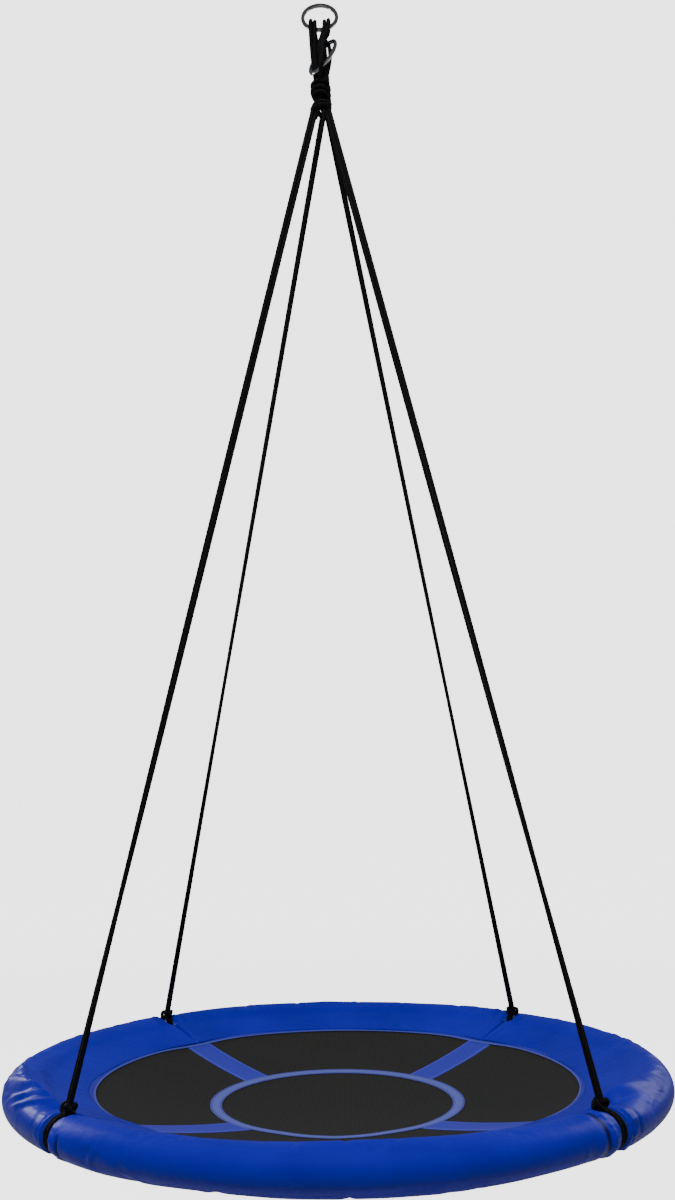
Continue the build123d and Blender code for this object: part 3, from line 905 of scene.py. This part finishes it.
def cover_grid(side_name, first):
    """Points of one quarter of the rim's cover, rows along the rim and columns over it.

    Returns them, which of them the simulation holds, how much each is hem, and its painted shade."""
    draw = random.Random(f"{side_name} gathers")
    phase = [draw.uniform(0, 2 * math.pi) for _ in range(4)]
    x, z, nx, nz = (np.tile(OUTLINE[:, k], (ROWS, 1)) for k in range(4))
    q = np.tile(OVER, (ROWS, 1))
    on_tube = ease(SKIRT_END, TUBE_START, x)

    # The rows stand closer together towards a section's ends.
    spread = np.linspace(0, 1, ROWS)
    spread = 0.5 - 0.5 * np.cos(math.pi * spread) * (0.75 + 0.25 * np.cos(math.pi * spread) ** 2)
    inset = (ROPE_GAP + OVERLAP) * on_tube - OVERLAP
    s = inset + (QUARTER - 2 * inset) * spread[:, None]
    azimuth = np.radians(first) + s / TUBE_PATH_R
    from_first, from_last = s - inset, QUARTER - inset - s
    to_end = np.minimum(from_first, from_last)
    to_seam = np.minimum(q, OVER[-1] - q)
    around = np.arctan2(z, x - TUBE_PATH_R)

    # Creases, gathers at the ends, and long waves.
    lift = np.zeros_like(x)
    for ends, width, height in cover_folds(side_name):
        lift += fold_lift(s, q, ends, width, height)
    lift *= ease(0, 22 * MM, to_seam) * ease(0, 10 * MM, to_end)
    gathers = np.sin(11 * around + phase[0]) + 0.7 * np.sin(19 * around + phase[1])
    lift += 1.1 * MM * gathers * np.exp(-to_end / (13 * MM)) * on_tube
    lift += 0.9 * MM * np.sin(3 * around + 9 * azimuth + phase[2]) * on_tube
    lift += 1.2 * MM * np.sin(7 * azimuth + phase[3]) * on_tube
    if side_name == "front":
        crease_shade = front_ends(lift, s, from_first, from_last, around, on_tube)
    else:
        crease_shade = tied_ends(lift, to_end, on_tube)
    # The foam lies a little flat on the outside, so a soft edge runs round the rim.
    lift += 1.5 * MM * bell(around, -0.18, 0.22) * on_tube
    # The cloth lies loose on the foam, and never goes into it.
    lift = 0.5 * MM * np.logaddexp(0, (lift + 0.9 * MM) / (0.5 * MM)) - 0.1 * MM
    px, pz = x + nx * lift, z + nz * lift

    # Each end draws in round the tube, beside the rope.
    r = np.hypot(px - TUBE_PATH_R, pz)
    drawn_in = 1 - ease(0, 9 * MM, to_end)
    shrink = 1 - np.sqrt(drawn_in) * drawn_in**0.3 * (1 - np.minimum(1, 15 * MM / r)) * on_tube
    px = TUBE_PATH_R + (px - TUBE_PATH_R) * shrink
    pz = pz * shrink
    middle_z = -EDGE_DROP * (1 - np.clip((x - SEAM_R) / (TUBE_PATH_R - SEAM_R), 0, 1))
    pz = pz + (middle_z - pz) * 0.8 * (1 - ease(0, 5 * MM, to_end)) * (1 - on_tube)

    # The tapes pull the seam in at the corners.
    corner = bell(np.minimum(s, QUARTER - s), 0, 75 * MM)
    uneven = 2.2 * MM * (1.2 + np.sin(5 * azimuth + 0.8) + 0.6 * np.sin(11 * azimuth))
    seam_in = np.maximum(0, uneven + 8 * MM * corner)
    px = px - seam_in * np.clip(1 - q / TOP_OF_TUBE, 0, 1)

    verts = np.stack([AXIS.x + px * np.cos(azimuth), AXIS.y + px * np.sin(azimuth), RIM_Z + pz],
                     axis=2)
    pinned = (to_seam < 6 * MM) | (to_end < 5 * MM) | (on_tube < 0.3)
    # Painted shade: a dark line round the tube, just below its outermost point.
    crease_shade = crease_shade + 0.35 * bell(around, -0.38, 0.05) * on_tube
    hem = 0.5 * bell(to_end, 1.5 * MM, 1.8 * MM) * on_tube
    return verts.reshape(-1, 3), pinned.reshape(-1), hem.reshape(-1), crease_shade.reshape(-1)


# Cloth less than FOAM_CLEAR from the tube's path is in the foam or too near it. A section's end is
# less than FOAM_INNER from it, and the skirt's radius is less than NEAR_TUBE: both stay.
FOAM_CLEAR, FOAM_INNER, NEAR_TUBE = 24.9 * MM, 18 * MM, 455 * MM


def clear_of_foam(points):
    """The same points, those round the tube moved out to the foam if they were inside it."""
    flat = points[:, :2] - np.array(AXIS)[:2]
    reach = np.hypot(*flat.T)
    out, up = reach - TUBE_PATH_R, points[:, 2] - RIM_Z
    r = np.hypot(out, up)
    inside = (reach > NEAR_TUBE) & (r > FOAM_INNER) & (r < FOAM_CLEAR)
    push = np.where(inside, FOAM_CLEAR / r, 1.0)
    wide = (TUBE_PATH_R + out * push) / reach
    moved = points.copy()
    moved[:, :2] = np.array(AXIS)[:2] + flat * wide[:, None]
    moved[:, 2] = RIM_Z + up * push
    return moved.reshape(-1)


SIM_START, SIM_END = 1, 20


def swell(pieces, pins, most):
    """Blows padded cloth up a little with a cloth simulation, by at most a given distance."""
    for piece, pinned in zip(pieces, pins):
        held = piece.vertex_groups.new(name="held")
        held.add([int(k) for k in np.flatnonzero(pinned)], 1.0, "REPLACE")
        cloth = piece.modifiers.new("cloth", "CLOTH")
        settings = cloth.settings
        settings.quality = 4
        settings.mass = 0.15
        settings.tension_stiffness = settings.compression_stiffness = 12
        settings.shear_stiffness = 4
        settings.bending_stiffness = 0.6
        settings.use_pressure = True
        settings.uniform_pressure_force = 4
        settings.vertex_group_mass = "held"
        settings.effector_weights.gravity = 0
        cloth.point_cache.frame_start, cloth.point_cache.frame_end = SIM_START, SIM_END
    scene = bpy.context.scene
    for number in range(SIM_START, SIM_END + 1):
        scene.frame_set(number)
    graph = bpy.context.evaluated_depsgraph_get()
    for piece in pieces:
        before = np.empty(len(piece.data.vertices) * 3)
        piece.data.vertices.foreach_get("co", before)
        after = np.empty_like(before)
        piece.evaluated_get(graph).data.vertices.foreach_get("co", after)
        move = (after - before).reshape(-1, 3)
        far = np.linalg.norm(move, axis=1)[:, None]
        move *= np.minimum(1, most / np.maximum(far, 1e-9))
        piece.modifiers.clear()
        piece.vertex_groups.clear()
        piece.data.vertices.foreach_set("co", clear_of_foam(before.reshape(-1, 3) + move))
        piece.data.update()
    scene.frame_set(SIM_START)


covers, cover_pins = [], []
for side_name, first in SIDES.items():
    verts, pinned, hem, crease_shade = cover_grid(side_name, first)
    faces = grid_faces(ROWS, len(OUTLINE))
    piece = add_piece(f"cover_{side_name}_fabric", verts, faces, COVER, "saucer")
    mark_points(piece, "edge", hem)
    # The cover's material reads its painted shade in creases and grooves from these points.
    mark_points(piece, "crease_shade", crease_shade)
    covers.append(piece)
    cover_pins.append(pinned)
swell(covers, cover_pins, 5 * MM)
for piece, side_name in zip(covers, SIDES):
    smooth = piece.modifiers.new("smooth", "SUBSURF")
    smooth.levels = smooth.render_levels = 1
    thicken(piece, 1.0 * MM)
    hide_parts(f"cover_{side_name}")

# ---------------------------------------------------------------- seat
# The mesh hangs as a cap of a sphere of this radius.
BOWL_R = (SEAM_R**2 + SAG**2) / (2 * SAG)

# Azimuths in degrees: of a sheet's rows, and of the join in the hoop's tape.
ALL_ROUND = [360 * k / 240 for k in range(240)]
HOOP_JOIN = 270


def bowl_z(radius):
    """Height at this radius of the bowl that the mesh and its tapes lie on."""
    return RIM_Z - EDGE_DROP - SAG + BOWL_R - math.sqrt(BOWL_R**2 - radius**2)


def polar_sheet(name, radii, lift, thickness, material, node, edge=None):
    """A sheet on the bowl, all the way round; radii may be a function of azimuth.

    If the first of its radii is nearly 0, a fan of triangles closes its middle."""
    verts, marks = [], []
    for azimuth in ALL_ROUND:
        row = radii(azimuth) if callable(radii) else radii
        for k, radius in enumerate(row):
            verts.append(about(azimuth, radius, bowl_z(radius) + lift))
            marks.append(edge(k / (len(row) - 1)) if edge else 0.0)
    rows = len(ALL_ROUND)
    columns = len(verts) // rows
    faces = grid_faces(rows, columns, closed_rows=True)
    if (verts[0].xy - AXIS.xy).length < 5 * MM:
        for r in range(rows):
            faces.append((len(verts), r * columns, (r + 1) % rows * columns))
        verts.append(about(0, 0, bowl_z(0) + lift))
        marks.append(0.0)
    piece = add_piece(name, verts, [f[::-1] for f in faces], material, "saucer")
    mark_points(piece, "edge", marks)
    thicken(piece, thickness)
    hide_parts(node)
    return piece


def degrees_apart(a, b):
    """How far apart two azimuths are, from 0 to 180."""
    return abs((a - b + 180) % 360 - 180)


def steps(start, width, count):
    """Radii from start over a width, in this many equal steps."""
    return [start + width * k / count for k in range(count + 1)]


def hoop_radii(azimuth):
    """The hoop's radii: round, with a small point where its tape's ends meet at the front."""
    off = degrees_apart(azimuth, HOOP_JOIN)
    point = 8 * MM * max(0.0, 1 - off / 24) - 3 * MM * bell(off, 26, 12)
    return steps(HOOP_OUT - HOOP_W + point, HOOP_W, 18)


def hoop_lines(t):
    """Two darker lines, just inside the edges of the tape."""
    return bell(min(t, 1 - t), 0.10, 0.07)


def binding_radii(azimuth):
    """The binding shows most at the corners, where the tapes pull it in."""
    off = min(degrees_apart(azimuth, corner) for corner in CORNERS.values())
    inner = SEAM_R - (9 + 8 * bell(off, 0, 9)) * MM
    return steps(inner, SEAM_R - inner, 8)


def binding_line(t):
    """A paler line along the inner edge."""
    return bell(t, 0, 0.25)


seat = polar_sheet("mesh_seat_fabric", steps(2 * MM, SEAM_R + 1 * MM, 60), 0.0, 1.0 * MM, MESH,
                   "mesh_seat")
polar_sheet("tape_hoop_fabric", hoop_radii, 1.3 * MM, 1.2 * MM, HOOP_TAPE, "tape_hoop",
            hoop_lines)
polar_sheet("seat_binding_fabric", binding_radii, 1.8 * MM, 1.6 * MM, BINDING,
            "seat_binding", binding_line)


# A spoke starts under the hoop. It lies this high on the bowl, and lower along its edges.
SPOKE_START = HOOP_OUT - 8 * MM
SPOKE_LIFT = 0.9 * MM
SPOKE_ROWS, SPOKE_COLUMNS = 40, 25


def spoke(corner, azimuth):
    """A straight tape from the hoop to the seam, lying on the bowl."""
    out = about(azimuth, 1, 0) - AXIS
    along = about(azimuth + 90, 1, 0) - AXIS
    verts, marks = [], []
    for r in range(SPOKE_ROWS):
        reach = SPOKE_START + (SEAM_R - SPOKE_START) * r / (SPOKE_ROWS - 1)
        for c in range(SPOKE_COLUMNS):
            share = c / (SPOKE_COLUMNS - 1)
            edge = 1 - abs(2 * share - 1)
            spot = out * reach + along * (SPOKE_W * (share - 0.5))
            z = bowl_z(min(spot.length, SEAM_R)) + SPOKE_LIFT * min(1, edge * 4 + 0.3)
            verts.append(AXIS + spot + UP * z)
            marks.append(bell(edge, 0.12, 0.05))
    piece = add_piece(f"tape_spoke_{corner}_fabric", verts,
                      grid_faces(SPOKE_ROWS, SPOKE_COLUMNS), SPOKE_TAPE, "saucer")
    mark_points(piece, "edge", marks)
    thicken(piece, 1.0 * MM)
    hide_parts(f"tape_spoke_{corner}")


for corner, azimuth in CORNERS.items():
    spoke(corner, azimuth)

# ---------------------------------------------------------------- CAD nodes that stay
CAD_LOOKS = {"upper_ring": STEEL, "lower_ring": STEEL, "rim_tube": GALVANISED,
             "frame_screws": GALVANISED, "foam": FOAM}
for node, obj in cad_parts.items():
    for start, material in CAD_LOOKS.items():
        if node.startswith(start):
            obj.data.materials.clear()
            obj.data.materials.append(material)

bpy.context.view_layer.update()
